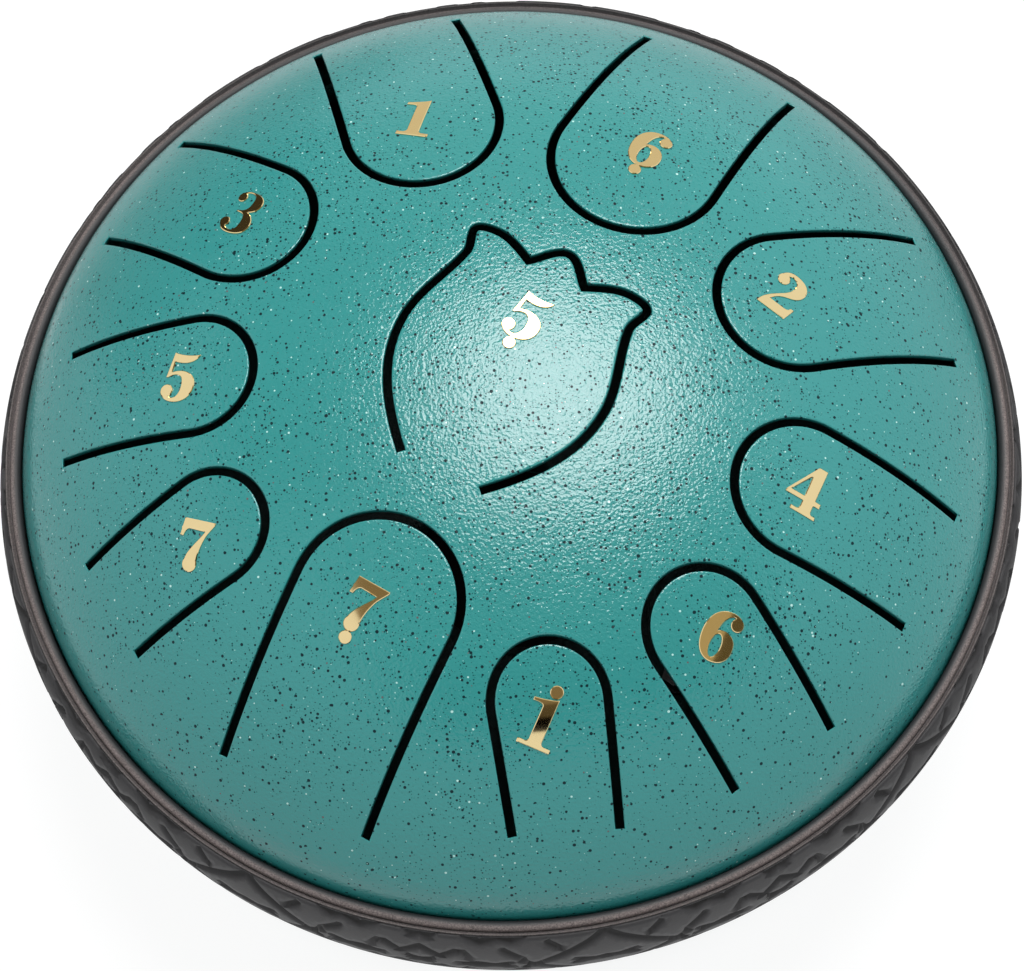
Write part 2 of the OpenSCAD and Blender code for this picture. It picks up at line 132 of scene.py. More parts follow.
def spotOnDome(distance, direction):
    # where it is, its normal, and the ways outwards and round there
    spot = skinBelow([[distance * math.cos(direction), distance * math.sin(direction)]])[0]
    normal = skinNormals(spot[None])[0]
    side = np.array([-math.sin(direction), math.cos(direction), 0.0])
    return spot, normal, np.cross(side, normal), side


def arcLength(turn):
    s = 0.0
    for _, radius, first, last in arcs:
        s = s + radius * (np.clip(turn, first, last) - first)
    return s


def turnAtLength(s):
    turn, start = np.zeros_like(s), 0.0
    for _, radius, first, last in arcs:
        turn = turn + np.clip((s - start) / radius, 0, last - first)
        start += radius * (last - first)
    return turn


def skinPoint(turn, direction, inset):
    r, z = np.zeros_like(turn), np.zeros_like(turn)
    for centre, radius, first, _ in arcs:
        here = turn >= first
        r = np.where(here, centre[0] + (radius - inset) * np.sin(turn), r)
        z = np.where(here, centre[1] + (radius - inset) * np.cos(turn), z)
    return aroundAxis(r, direction, z)


def flatten(points):
    # the dome unrolled along its meridians
    s = arcLength(domeTurnAndGap(points)[0])
    direction = np.arctan2(points[:, 1], points[:, 0])
    return np.stack([s * np.cos(direction), s * np.sin(direction)], 1)


# Flat line work shared by slots, band and numerals

rowShare = 0.866    # height of a row of even triangles


def roundAngles(count):
    return 2 * np.pi * np.arange(count) / count


def curveAt(p, a, b, q, t):
    return (1 - t) ** 3 * p + 3 * (1 - t) ** 2 * t * a + 3 * (1 - t) * t * t * b + t ** 3 * q


def chain(start, parts, steps):
    # each part is the end of a straight line, or two handles and the end of a curve
    points = [np.array(start, float)]
    for part in parts:
        part = np.array(part, float).reshape(-1, 2)
        if len(part) == 1:
            points.append(part[0])
        else:
            p = points[-1]
            points += [curveAt(p, *part, (k + 1) / steps) for k in range(steps)]
    return np.array(points)


def evenLine(line, step):
    # same line with no stretch longer than step
    points = [line[0]]
    for a, b in zip(line[:-1], line[1:]):
        n = max(1, math.ceil(np.linalg.norm(b - a) / step))
        points += [a + (b - a) * (k + 1) / n for k in range(n)]
    return np.array(points)


def beside(line, d):
    way = unit(line[1:] - line[:-1])
    left = np.stack([-way[:, 1], way[:, 0]], 1)
    before, after = np.vstack([left[:1], left]), np.vstack([left, left[-1:]])
    return line + d * (before + after) / (1 + np.sum(before * after, 1))[:, None]


def turned(points, angle):
    c, s = math.cos(angle), math.sin(angle)
    return points @ np.array([[c, s], [-s, c]])


def insideLoop(points, loop):
    low, high = loop.min(0), loop.max(0)
    near = np.all((points > low) & (points < high), 1)
    p = points[near]
    hits = np.zeros(len(p), int)
    for a, b in zip(loop, np.roll(loop, -1, 0)):
        if a[1] == b[1]:
            continue
        crossing = (a[1] > p[:, 1]) != (b[1] > p[:, 1])
        x = a[0] + (p[:, 1] - a[1]) * (b[0] - a[0]) / (b[1] - a[1])
        hits += crossing & (p[:, 0] < x)
    near[near] = hits % 2 == 1
    return near


def loopEdges(loops, start):
    # edges of closed loops whose points are numbered on from start, one loop after the other
    edges = []
    for n in map(len, loops):
        edges += [(start + i, start + (i + 1) % n) for i in range(n)]
        start += n
    return edges


def triangulate(points, loops=(), start=0):
    # Delaunay triangles over points, which from start on hold loops whose edges are kept
    made = delaunay_2d_cdt([Vector(p) for p in points], loopEdges(loops, start), [], 0, 1e-7, True)
    origin = [ids[0] if ids else -1 for ids in made[3]]
    tris = [[origin[v] for v in face] for face in made[2]]
    return np.array([t for t in tris if min(t) >= 0 and len(set(t)) == 3])


def turnedOneWay(flat, tris, leftwards=True, least=-1):
    # triangles that all turn left or right, those smaller than least left out
    a, b, c = flat[tris[:, 0]], flat[tris[:, 1]], flat[tris[:, 2]]
    area = (b[:, 0] - a[:, 0]) * (c[:, 1] - a[:, 1]) - (b[:, 1] - a[:, 1]) * (c[:, 0] - a[:, 0])
    tris = np.where(((area > 0) == leftwards)[:, None], tris, tris[:, ::-1])
    return tris[np.abs(area) > least]


def distanceFrom(points):
    tree = KDTree(len(points))
    for i, p in enumerate(points):
        tree.insert((p[0], p[1], 0), i)
    tree.balance()
    return lambda x, y: tree.find((x, y, 0))[2]


def fillPoints(radius, step, keepOff, distance):
    rows = int(radius / (step * rowShare)) + 1
    away = distanceFrom(keepOff)
    points = []
    for j in range(-rows, rows + 1):
        for i in range(-rows - 1, rows + 2):
            x, y = (i + 0.5 * (j % 2)) * step, j * step * rowShare
            if math.hypot(x, y) < radius and away(x, y) > distance:
                points.append((x, y))
    return np.array(points)


def addObject(name, data):
    item = bpy.data.objects.new(name, data)
    bpy.context.scene.collection.objects.link(item)
    return item


def newPiece(name, points, faces, material, smooth=True):
    mesh = bpy.data.meshes.new(name)
    mesh.from_pydata((points * mm).tolist(), [], [[int(i) for i in face] for face in faces])
    mesh.validate()
    mesh.materials.append(material)
    for polygon in mesh.polygons:
        polygon.use_smooth = smooth
    return addObject(name, mesh)


def storeOnPoints(piece, name, values):
    piece.data.attributes.new(name, "FLOAT", "POINT").data.foreach_set("value", values)


# Materials


def fillInputs(tree, node, inputs):
    # what comes from another node is linked, the rest is set
    for key, value in inputs.items():
        if isinstance(value, bpy.types.NodeSocket):
            tree.links.new(value, node.inputs[key])
        else:
            node.inputs[key].default_value = value


def addNode(tree, kind, inputs=None, **values):
    node = tree.nodes.new(kind)
    for key, value in values.items():
        setattr(node, key, value)
    fillInputs(tree, node, inputs or {})
    return node


def addMath(tree, operation, *inputs, clamp=False):
    inputs = dict(enumerate(inputs))
    return addNode(tree, "ShaderNodeMath", inputs, operation=operation, use_clamp=clamp).outputs[0]


def addVectorMath(tree, operation, result, *inputs):
    inputs = dict(enumerate(inputs))
    return addNode(tree, "ShaderNodeVectorMath", inputs, operation=operation).outputs[result]


def addMix(tree, factor, a, b):
    return addNode(tree, "ShaderNodeMix", {0: factor, 6: a, 7: b}, data_type="RGBA").outputs[2]


def addNoise(tree, place, scale, detail=2.0, rough=0.5):
    inputs = {"Vector": place, "Scale": scale, "Detail": detail, "Roughness": rough}
    return addNode(tree, "ShaderNodeTexNoise", inputs).outputs["Fac"]


def addRange(tree, value, reach, result=(0.0, 1.0), kind="SMOOTHSTEP"):
    inputs = {"Value": value, "From Min": reach[0], "From Max": reach[1],
              "To Min": result[0], "To Max": result[1]}
    return addNode(tree, "ShaderNodeMapRange", inputs, interpolation_type=kind).outputs[0]


def addBump(tree, height, distance):
    inputs = {"Strength": 1.0, "Distance": distance, "Height": height}
    return addNode(tree, "ShaderNodeBump", inputs).outputs[0]


def pieceValue(tree, name):
    return addNode(tree, "ShaderNodeAttribute", attribute_name=name).outputs["Fac"]


def startMaterial(name):
    material = bpy.data.materials.new(name)
    material.use_nodes = True
    tree = material.node_tree
    place = addNode(tree, "ShaderNodeTexCoord").outputs["Object"]
    return material, tree, tree.nodes["Principled BSDF"], place


paint = {
    "teal": (0.024, 0.272, 0.263, 1),
    "tealShade": (0.019, 0.248, 0.240, 1),
    "cloudScale": 22.0,       # scales are per metre
    "inside": (0.004, 0.020, 0.020, 1),   # painted shade: the inside of the bowls is near black and has no coat, so the slots look dark
    "roughness": 0.42,
    "specular": 0.16,
    "coat": 1.0,
    "coatRoughness": 0.135,
    "coatOnFlecks": 0.05,     # dark flecks are pits with little gloss
    "peel": (1350.0, 1.0),    # orange peel: scale and detail of its noise
    "peelHeight": 0.00014,
    "rimReach": (0.086, 0.114),   # flecks thin out between these distances from the axis
    "rimShare": (1.0, 0.45),
    "patchScale": 38.0,           # patches with more and fewer flecks
    "patchReach": (0.35, 0.65),
    "patchShare": (0.55, 1.25),
    "smallness": 1.4,             # above 1 most flecks are small
    "fleckEdge": 24.0,
    "darkFlecks": [  # cells per metre, share of cells, least and most radius as a share of a cell, colour
        (1500.0, 0.85, 0.11, 0.33, (0, 0.07, 0.072, 1)),
        (430.0, 0.50, 0.05, 0.14, (0.11, 0.10, 0.105, 1)),
        (860.0, 0.82, 0.09, 0.38, (0, 0.02, 0.026, 1)),
    ],
    "paleFlecks": [
        (430.0, 0.95, 0.04, 0.15, (0.45, 0.76, 0.72, 1)),
        (1000.0, 0.34, 0.06, 0.20, (0.26, 0.58, 0.54, 1)),
    ],
    "fleckShifts": {"darkFlecks": 0, "paleFlecks": 5},
    "fleckWay": (0.37, 0.11, 0.23),
}


def addFleckDensity(tree, place, look):
    cloud = addNoise(tree, place, look["patchScale"])
    patch = addRange(tree, cloud, look["patchReach"], look["patchShare"], "LINEAR")
    flat = addVectorMath(tree, "MULTIPLY", "Vector", place, (1, 1, 0))
    fromAxis = addVectorMath(tree, "LENGTH", "Value", flat)
    rim = addRange(tree, fromAxis, look["rimReach"], look["rimShare"])
    return addMath(tree, "MULTIPLY", patch, rim)


def addFlecks(tree, place, flecks, shift, density, look):
    # round spots, one in some of a pattern's cells
    scale, share, least, most, _ = flecks
    away = [shift * d for d in look["fleckWay"]]
    moved = addNode(tree, "ShaderNodeMapping", {"Vector": place, "Location": away})
    cells = addNode(tree, "ShaderNodeTexVoronoi", {"Scale": scale, "Vector": moved.outputs[0]}).outputs
    pick = addNode(tree, "ShaderNodeSeparateColor", {0: cells["Color"]}).outputs
    size = addMath(tree, "POWER", pick[0], look["smallness"])
    radius = addMath(tree, "MULTIPLY_ADD", size, most - least, least)
    chosen = addMath(tree, "LESS_THAN", pick[1], addMath(tree, "MULTIPLY", density, share))
    edge = addMath(tree, "SUBTRACT", radius, cells["Distance"])
    soft = addMath(tree, "MULTIPLY", edge, look["fleckEdge"], clamp=True)
    return addMath(tree, "MULTIPLY", soft, chosen)


def makePaint(name, look):
    material, tree, shader, place = startMaterial(name)
    cloud = addNoise(tree, place, look["cloudScale"])
    colour = addMix(tree, cloud, look["teal"], look["tealShade"])
    density = addFleckDensity(tree, place, look)
    pits = 0.0
    for group, shift in look["fleckShifts"].items():
        for i, flecks in enumerate(look[group]):
            spots = addFlecks(tree, place, flecks, shift + i, density, look)
            colour = addMix(tree, spots, colour, flecks[-1])
            if group == "darkFlecks":
                pits = addMath(tree, "MAXIMUM", pits, spots)
    # painted shade: the inside of the bowls takes the near black inside colour and loses its coat
    inner = pieceValue(tree, "inner")
    full = look["coat"]
    coat = addMath(tree, "MULTIPLY_ADD", pits, full * (look["coatOnFlecks"] - 1), full)
    outer = addMath(tree, "SUBTRACT", 1.0, inner)
    peel = addBump(tree, addNoise(tree, place, *look["peel"]), look["peelHeight"])
    fillInputs(tree, shader, {
        "Base Color": addMix(tree, inner, colour, look["inside"]),
        "Roughness": look["roughness"],
        "Specular IOR Level": look["specular"],
        "Coat Weight": addMath(tree, "MULTIPLY", coat, outer),
        "Coat Roughness": look["coatRoughness"],
        "Normal": peel,
        "Coat Normal": peel,
    })
    return material


rubber = {
    "dark": (0.012, 0.012, 0.014, 1),
    "light": (0.037, 0.036, 0.039, 1),
    "roughness": 0.58,
    "cloud": (60.0, 3.0),     # scale and detail
    "grainScale": 1600.0,
    "grainShare": 0.6,
    "grainHeight": 0.00003,
}
bandDustAndShade = {
    # painted shade: the grooves of the relief are darkened towards this colour
    "groove": (0.005, 0.005, 0.006, 1),
    "dark": (0.060, 0.050, 0.049, 1),
    "light": (0.270, 0.225, 0.215, 1),
    "noise": (2400.0, 2.0, 0.7),       # scale, detail and roughness
    "contrast": (2.4, -0.7),
    "lipDarkWay": (0.34, 0.94, 0),       # the lips are darker towards this side
    "lipDarkReach": (0.035, 0.095),
    "lipDarkShare": (1.0, 0.35),
}


def addDustAndShade(tree, place, colour, look):
    # painted shade in the grooves, by their depth share
    colour = addMix(tree, pieceValue(tree, "groove"), colour, look["groove"])
    towards = addVectorMath(tree, "DOT_PRODUCT", "Value", place, look["lipDarkWay"])
    sideShare = addRange(tree, towards, look["lipDarkReach"], look["lipDarkShare"])
    # the lighter lip colour is dust, left off at the lip's inner edge as painted shade
    dustAndShade = addMath(tree, "MULTIPLY", pieceValue(tree, "dustAndShade"), sideShare)
    fine = addNoise(tree, place, *look["noise"])
    fine = addMath(tree, "MULTIPLY_ADD", fine, *look["contrast"], clamp=True)
    return addMix(tree, dustAndShade, colour, addMix(tree, fine, look["dark"], look["light"]))


def makeRubber(name, look, dustAndShade=None):
    material, tree, shader, place = startMaterial(name)
    cloud = addNoise(tree, place, *look["cloud"])
    grain = addNoise(tree, place, look["grainScale"])
    share = look["grainShare"]
    factor = addMath(tree, "MULTIPLY_ADD", grain, share, addMath(tree, "MULTIPLY", cloud, 1 - share))
    colour = addMix(tree, factor, look["dark"], look["light"])
    fillInputs(tree, shader, {
        "Base Color": addDustAndShade(tree, place, colour, dustAndShade) if dustAndShade else colour,
        "Roughness": look["roughness"],
        "Normal": addBump(tree, grain, look["grainHeight"]),
    })
    return material


gold = {
    "bright": (0.80, 0.645, 0.345, 1),
    "dull": (0.76, 0.605, 0.315, 1),
    "roughness": 0.065,
    "spread": 0.03,             # of the roughness
    "cloud": (180.0, 3.0),      # the noise's scale, detail and roughness
}
zinc = {
    "bright": (0.44, 0.45, 0.46, 1),
    "dull": (0.28, 0.29, 0.30, 1),
    "roughness": 0.42,
    "spread": 0.2,
    "cloud": (400.0, 4.0, 0.65),
}
# painted shade: the zinc inside the drum is darkened, standing in for the shade in there
innerZinc = {**zinc, "bright": (0.20, 0.20, 0.21, 1), "dull": (0.10, 0.10, 0.11, 1), "roughness": 0.6}


def makeMetal(name, look):
    material, tree, shader, place = startMaterial(name)
    cloud = addNoise(tree, place, *look["cloud"])
    least = look["roughness"] - look["spread"] / 2
    fillInputs(tree, shader, {
        "Base Color": addMix(tree, cloud, look["bright"], look["dull"]),
        "Roughness": addMath(tree, "MULTIPLY_ADD", cloud, look["spread"], least),
        "Metallic": 1.0,
    })
    return material


tealPaint = makePaint("speckled teal lacquer", paint)
bandRubber = makeRubber("moulded band rubber", rubber, bandDustAndShade)
footRubber = makeRubber("black foot rubber", {
    **rubber, "dark": (0.014, 0.014, 0.015, 1), "light": (0.040, 0.039, 0.040, 1), "roughness": 0.62})
goldMetal = makeMetal("pale gold", gold)
zincSteel = makeMetal("zinc plated steel", zinc)
shadedInnerZinc = makeMetal("zinc darkened as painted shade inside the drum", innerZinc)
print("materials made")


# Upper bowl, its tongues cut by eleven slots

slots = {
    "width": 2.1,
    "rootGap": 11.8,
    "tipSteps": 48,
    "step": 1.1,            # longest stretch of a slot's line
    "roundings": [(0.50, 0.0), (0.16, 0.07), (0.0, 0.35)],  # distance from the cut, depth below the skin
    "outer": [  # direction in degrees; centre, radius and taper as shares of the bowl's radius;
        # turn of the tongue in degrees; reach of the left and right leg past the root circle
        (101.9, 0.5855, 0.1575, 0.0065, -0.8, 0.039, 0.031),
        (55.4, 0.535, 0.1725, 0.004, 1.7, 0.018, 0.024),
        (11.2, 0.591, 0.1475, 0.005, 1.1, 0.021, 0.013),
        (-26.5, 0.629, 0.135, 0.0045, 0.2, 0.020, 0.003),
        (-57.5, 0.649, 0.116, 0.0025, -0.9, 0.013, 0.003),
        (-86.7, 0.666, 0.112, 0.0095, 0, -0.009, -0.019),
        (-121.5, 0.5315, 0.166, 0.0055, -0.4, 0.013, -0.005),
        (-156.4, 0.644, 0.112, 0.006, 0.2, -0.019, -0.013),
        (174, 0.610, 0.123, 0.006, 0.6, -0.009, -0.010),
        (140.9, 0.626, 0.139, 0.0045, -0.8, 0.024, 0.034),
    ],
}
tulip = {
    "length": 61.8,
    "width": 52.6,
    "back": 30.2,
    "offWidth": 0.75,
    "turn": math.radians(57),
    "steps": 12,
    "start": (0, 0.392),
    "belly": [  # along as a share of the length, across as a share of half the width
        (0.149, 0.753, 0.294, 1, 0.489, 1),
        (0.602, 1, 0.723, 0.848, 0.828, 0.816),
        (0.861, 0.806, 0.893, 0.867, 0.926, 0.871),
        (0.948, 0.871, 0.960, 0.798, 0.960, 0.665),
        (0.960, 0.540, 0.930, 0.414, 0.901, 0.281),
        (0.926, 0.205, 1, 0.114, 1, 0),
    ],
}


def runOut(p, way, radius):
    # where a line that leaves p comes to a circle round the axis
    along = p @ way
    return p + (math.sqrt(along ** 2 - p @ p + radius ** 2) - along) * way


def outerSlotLine(direction, centreShare, radiusShare, taperShare, turn, leftReach, rightReach):
    size = bowl["shellRadius"]
    rootRadius = size - slots["rootGap"]
    c, r, turn = centreShare * size, radiusShare * size, math.radians(turn)
    lean = math.atan(taperShare * size / (rootRadius - c))
    turns = lean - turn - (math.pi + 2 * lean) * np.arange(slots["tipSteps"] + 1) / slots["tipSteps"]
    tip = np.stack([c + r * np.sin(turns), r * np.cos(turns)], 1)
    ends = []
    for p, angle, reach in ((tip[0], turn - lean, leftReach), (tip[-1], turn + lean, rightReach)):
        way = np.array([math.cos(angle), math.sin(angle)])
        ends.append(runOut(p, way, rootRadius + reach * size))
    line = np.vstack([ends[:1], tip, ends[1:]])
    return turned(evenLine(line, slots["step"]), math.radians(direction))


def tulipLine():
    half = chain(tulip["start"], tulip["belly"], tulip["steps"])
    half = half * [tulip["length"], tulip["width"] / 2] - [tulip["back"], 0]
    line = np.vstack([half, (half * [1, -1])[-2::-1]])
    return turned(line - [0, tulip["offWidth"]], tulip["turn"])


def slotRings(line):
    # rings of points down a slot's edge: skin, two on the rounded edge, inside of the sheet
    rings, n = [], len(line)
    for out, depth in slots["roundings"] + [(0.0, bowl["sheet"])]:
        half = slots["width"] / 2 + out
        loop = np.vstack([beside(line, half), beside(line, -half)[::-1]])
        for i, j in ((0, 1), (n - 1, n - 2), (n, n + 1), (2 * n - 1, 2 * n - 2)):
            # the slot's ends are rounded over too
            loop[i] = loop[i] + unit(loop[i] - loop[j]) * out
        rings.append(skinBelow(loop, depth))
    return rings


def buildBowl(name, ringSets, upward, material):
    sheet, knuckleTurn = bowl["sheet"], bowl["knuckleTurn"]
    directions = roundAngles(bowl["columns"])
    points, faces, normals, inner = [], [], [], []

    def addPoints(p, n, depth=0.0):
        first = sum(len(q) for q in points)
        points.append(p)
        normals.append(n)
        inner.append(np.full(len(p), depth))
        return first + np.arange(len(p))

    def bridge(a, b):
        faces.extend(zip(a, b, np.roll(b, -1), np.roll(a, -1)))

    # rows down the outside, round the flange and up the inside
    count = bowl["knuckleRows"]
    turns = [bowl["meshEndTurn"], knuckleTurn]
    turns += list(knuckleTurn + (math.pi / 2 - knuckleTurn) * np.arange(1, count + 1) / count)
    rows = []
    for turn in turns:
        p = skinPoint(np.full(len(directions), turn), directions, 0.0)
        rows.append(addPoints(p, skinNormals(p)))
    radius, halfWall = bowl["shellRadius"], bowl["wallHeight"] / 2
    flange = radius + bowl["flangeWidth"]
    for r, z in ((radius, halfWall), (radius, sheet), (flange, sheet), (flange, 0),
                 (radius - sheet, 0), (radius - sheet, halfWall)):
        p = aroundAxis(r, directions, z)
        rows.append(addPoints(p, 0 * p))
    for turn in turns[::-1]:
        p = skinPoint(np.full(len(directions), turn), directions, sheet)
        rows.append(addPoints(p, -skinNormals(p), 1.0))
    for a, b in zip(rows[:-1], rows[1:]):
        bridge(a, b)

    # walls of the cuts
    outerLean, innerLean = bowl["edgeLean"]
    loopIds = []
    for rings in ringSets:
        ahead, behind = np.roll(rings[2], -1, 0), np.roll(rings[2], 1, 0)
        wall = unit(np.cross([0, 0, 1], ahead - behind))
        clockwise = np.sum(rings[2][:, 0] * ahead[:, 1] - ahead[:, 0] * rings[2][:, 1]) < 0
        if clockwise:
            wall = -wall
        skin = skinNormals(rings[0])
        ways = [skin, skin + outerLean * wall, wall + innerLean * skin, wall]
        ids = [addPoints(p, n, float(p is rings[-1])) for p, n in zip(rings, ways)]
        loopIds.append(ids)
        way = 1 if clockwise else -1
        for upper, lower in zip(ids[:-1], ids[1:]):
            bridge(upper[::way], lower[::way])

    # skins round the cuts
    known = np.vstack(points)
    borderRoom, cutRoom = bowl["meshRoom"]
    for outside, border, level in ((True, rows[0], 0), (False, rows[-1], -1)):
        rims = [ids[level] for ids in loopIds]
        ids = np.concatenate([border] + rims)
        flat = flatten(known[ids])
        flatRims = np.split(flat[len(border):], np.cumsum([len(rim) for rim in rims])[:-1])
        gap = bowl["outsideStep"] if outside else bowl["insideStep"]
        limit = arcLength(np.array(bowl["meshEndTurn"])) - borderRoom * gap
        fill = fillPoints(limit, gap, flat, cutRoom * gap)
        turn = turnAtLength(np.hypot(fill[:, 0], fill[:, 1]))
        p = skinPoint(turn, np.arctan2(fill[:, 1], fill[:, 0]), 0.0 if outside else sheet)
        n = skinNormals(p)
        ids = np.concatenate([ids, addPoints(p, n if outside else -n, float(not outside))])
        flat = np.vstack([flat, fill])
        tris = triangulate(flat, rims, len(border))
        middle = flat[tris].mean(1)
        cut = np.any([insideLoop(middle, rim) for rim in flatRims], 0)
        faces.extend(ids[turnedOneWay(flat, tris[~cut], outside)].tolist())

    points, normals = np.vstack(points), np.vstack(normals)
    if not upward:
        points = points * [1, 1, -1] + [0, 0, 2 * seamZ]
        normals = normals * [1, 1, -1]
        faces = [f[::-1] for f in faces]
    piece = newPiece(name, points, faces, material)
    piece.data.normals_split_custom_set_from_vertices([tuple(n) for n in unit(normals)])
    storeOnPoints(piece, "inner", np.concatenate(inner))
    return piece


lines = [tulipLine()] + [outerSlotLine(*shares) for shares in slots["outer"]]
topShell = buildBowl("topShellCut", [slotRings(line) for line in lines], True, tealPaint)
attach(topShell, body)
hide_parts("top_shell")
print("upper bowl", len(topShell.data.polygons), "faces")


# Lower bowl with the sound hole and the holes of the foot screws

lower = {
    "soundHole": (25.0, 120),   # radius, points round it
    "screwHole": (2.15, 24),
    "footCircleRadius": 56.0,
    "footDirections": [225, 315, 135, 45],
    "roundings": [(0.35, 0.0), (0.12, 0.10), (0.0, 0.35)],
}


def roundHoleRings(distance, direction, radius, steps):
    centre, normal, along, side = spotOnDome(distance, 0.0)
    angles = roundAngles(steps)[:, None]
    rings = []
    for out, depth in lower["roundings"] + [(0.0, bowl["sheet"])]:
        loop = centre + (radius + out) * (np.cos(angles) * along + np.sin(angles) * side)
        loop = dropOnDome(loop, normal, -depth)
        loop[:, :2] = turned(loop[:, :2], math.radians(direction))
        rings.append(loop)
    return rings


holes = [roundHoleRings(0.0, 0, *lower["soundHole"])]
for direction in lower["footDirections"]:
    holes.append(roundHoleRings(lower["footCircleRadius"], -direction, *lower["screwHole"]))
bottomShell = buildBowl("bottomShellPainted", holes, False, tealPaint)
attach(bottomShell, body)
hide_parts("bottom_shell")
print("lower bowl", len(bottomShell.data.polygons), "faces")


# Rubber band: one tile of its relief, repeated round the drum by Geometry Nodes

band = {
    "repeats": 9,
    "tileTurn": 2 * math.pi / 9,
    "firstTurn": math.radians(-83.9),   # an arch of the relief stands here
    "outerRadius": 126.0,
    "height": 29.4,
    "bulge": 2.7,
    "lipWidth": 2.6,
    "lipUp": 0.6,
    "lipSteps": 16,
    "ridge": [  # from the tread's edge in to the lip: distance from the bore, above the tread's edge, share of the lighter dusty lip colour
        (3.95, -0.35, 0), (3.78, -0.35, 0), (3.70, 0.0, 0.3), (3.60, 0.14, 0.55), (3.40, 0.14, 0.55),
        (3.28, -0.05, 0.6), (2.90, -0.9, 0.5), (2.70, -0.95, 0.2), (2.61, -0.85, 0.1),
    ],
    "lipDustAndShade": (1.15, 1.75),   # the lighter dusty colour of a lip grows between these distances from the bore; nearer the bore the lip stays dark as painted shade in the crease against the bowl
    "lipStartDustAndShade": 0.3,
    "edgeSink": 0.2,           # most that a groove cuts into the tread's edge
    "gap": 0.2,
    "reliefDepth": 1.4,
    "reliefWidth": 2.2,
    "reliefFloor": 0.4,        # share of the half width that lies at full depth
    "reliefReach": 43.4,       # half a tile as drawn below
    "besideGrooves": (0.0, 0.5, -0.5, 0.9, -0.9, 1.3, -1.3),
    "alongGrooves": 0.9,
    "closest": 0.36,           # points along the grooves keep this apart
    "step": 1.3,               # mesh size away from them
    "room": 0.7,               # steps between the two
    "margins": (0.35, 0.3, 0.3, 0.5),   # at the tile's sides, ends and middle, and round the even fill
    "boreRows": (0.6, 0.3),
    "weldDistance": 0.02,
    "columns": 88,             # of a tile
    "sideRows": 60,
    "middleRows": 48,
}
# Grooves in half a tile: across from the middle between two arches, height above the band's middle
relief = [
    [(43.9, 14.6), (39.9, 10.7), (35.5, 7.2), (31.3, 3.9), (27.2, 0.5), (24.6, -2.0)],
    [(29.9, 12.1), (32.4, 9.3)],
    [(19.6, 8.9), (23.9, 4.4)],
    [(0.0, 8.3), (4.7, 4.0), (8.4, 7.7), (10.0, 7.5), (11.4, 4.5)],
    [(2.9, 14.6), (2.0, 12.9), (0.3, 14.3)],
    [(10.7, 14.7), (14.2, 12.6), (18.4, 14.5), (21.4, 13.3), (23.9, 14.7)],
    [(0.0, -0.3), (2.4, -1.2)],
    [(9.4, 0.3), (13.6, -1.3), (17.6, 0.0), (21.0, -1.5)],
    [(36.6, -1.4), (39.6, -0.3), (43.2, 0.6)],
]


def distanceToLines(p, found):
    best = np.full(len(p), 1e9)
    for line in found:
        for a, b in zip(line[:-1], line[1:]):
            d = b - a
            t = np.clip(((p - a) @ d) / (d @ d), 0, 1)
            best = np.minimum(best, np.linalg.norm(p - a - t[:, None] * d, axis=1))
    return best


def reliefLines(half):
    # each line mirrored both ways, and those of the neighbouring tiles
    found = []
    for line in relief:
        line = np.array(line) * [half / band["reliefReach"], 1]
        for shift, sx in ((0, 1), (0, -1), (2 * half, -1), (-2 * half, 1)):
            for sz in (1, -1):
                found.append(line * [sx, sz] + [shift, 0])
    return found


def sparse(points, gap):
    # leaves out each point that is closer than gap to one before it
    kept, cells = [], {}
    for p in points:
        x, y = math.floor(p[0] / gap), math.floor(p[1] / gap)
        around = [q for i in (-1, 0, 1) for j in (-1, 0, 1) for q in cells.get((x + i, y + j), [])]
        if all(math.hypot(p[0] - q[0], p[1] - q[1]) >= gap for q in around):
            cells.setdefault((x, y), []).append(p)
            kept.append(p)
    return np.array(kept)


def treadPoints(lines, half, halfHigh):
    # border, middle line, points along the grooves and an even fill, mirrored across the middle
    grooves = [evenLine(line, band["alongGrooves"]) for line in lines]
    near = np.vstack([beside(line, side) for line in grooves for side in band["besideGrooves"]])
    sides, ends, middle, around = band["margins"]
    inTile = (near[:, 0] > middle) & (near[:, 0] < half - sides) & (np.abs(near[:, 1]) < halfHigh - ends)
    near = sparse(near[inTile], band["closest"])
    heights = np.linspace(-halfHigh, halfHigh, band["sideRows"] + 1)
    across = np.linspace(-half, half, band["columns"] + 1)[1:-1]
    border = [(x, h) for x in (-half, half) for h in heights]
    border += [(x, h) for h in (-halfHigh, halfHigh) for x in across]
    axis = [(0.0, h) for h in np.linspace(-halfHigh, halfHigh, band["middleRows"] + 1)[1:-1]]
    known = np.vstack([border, axis, near, near * [-1, 1]])
    away, step = distanceFrom(known), band["step"]
    fill = []
    for j in range(int(2 * halfHigh / (step * rowShare)) + 1):
        for i in range(int(half / step) + 1):
            x, y = (i + 0.5 * (j % 2) + 0.5) * step, -halfHigh + (j + 0.5) * step * rowShare
            inTile = x < half - around and abs(y) < halfHigh - around
            if inTile and away(x, y) > band["room"] * step:
                fill.append((x, y))
    fill = np.array(fill)
    return np.vstack([known, fill, fill * [-1, 1]])


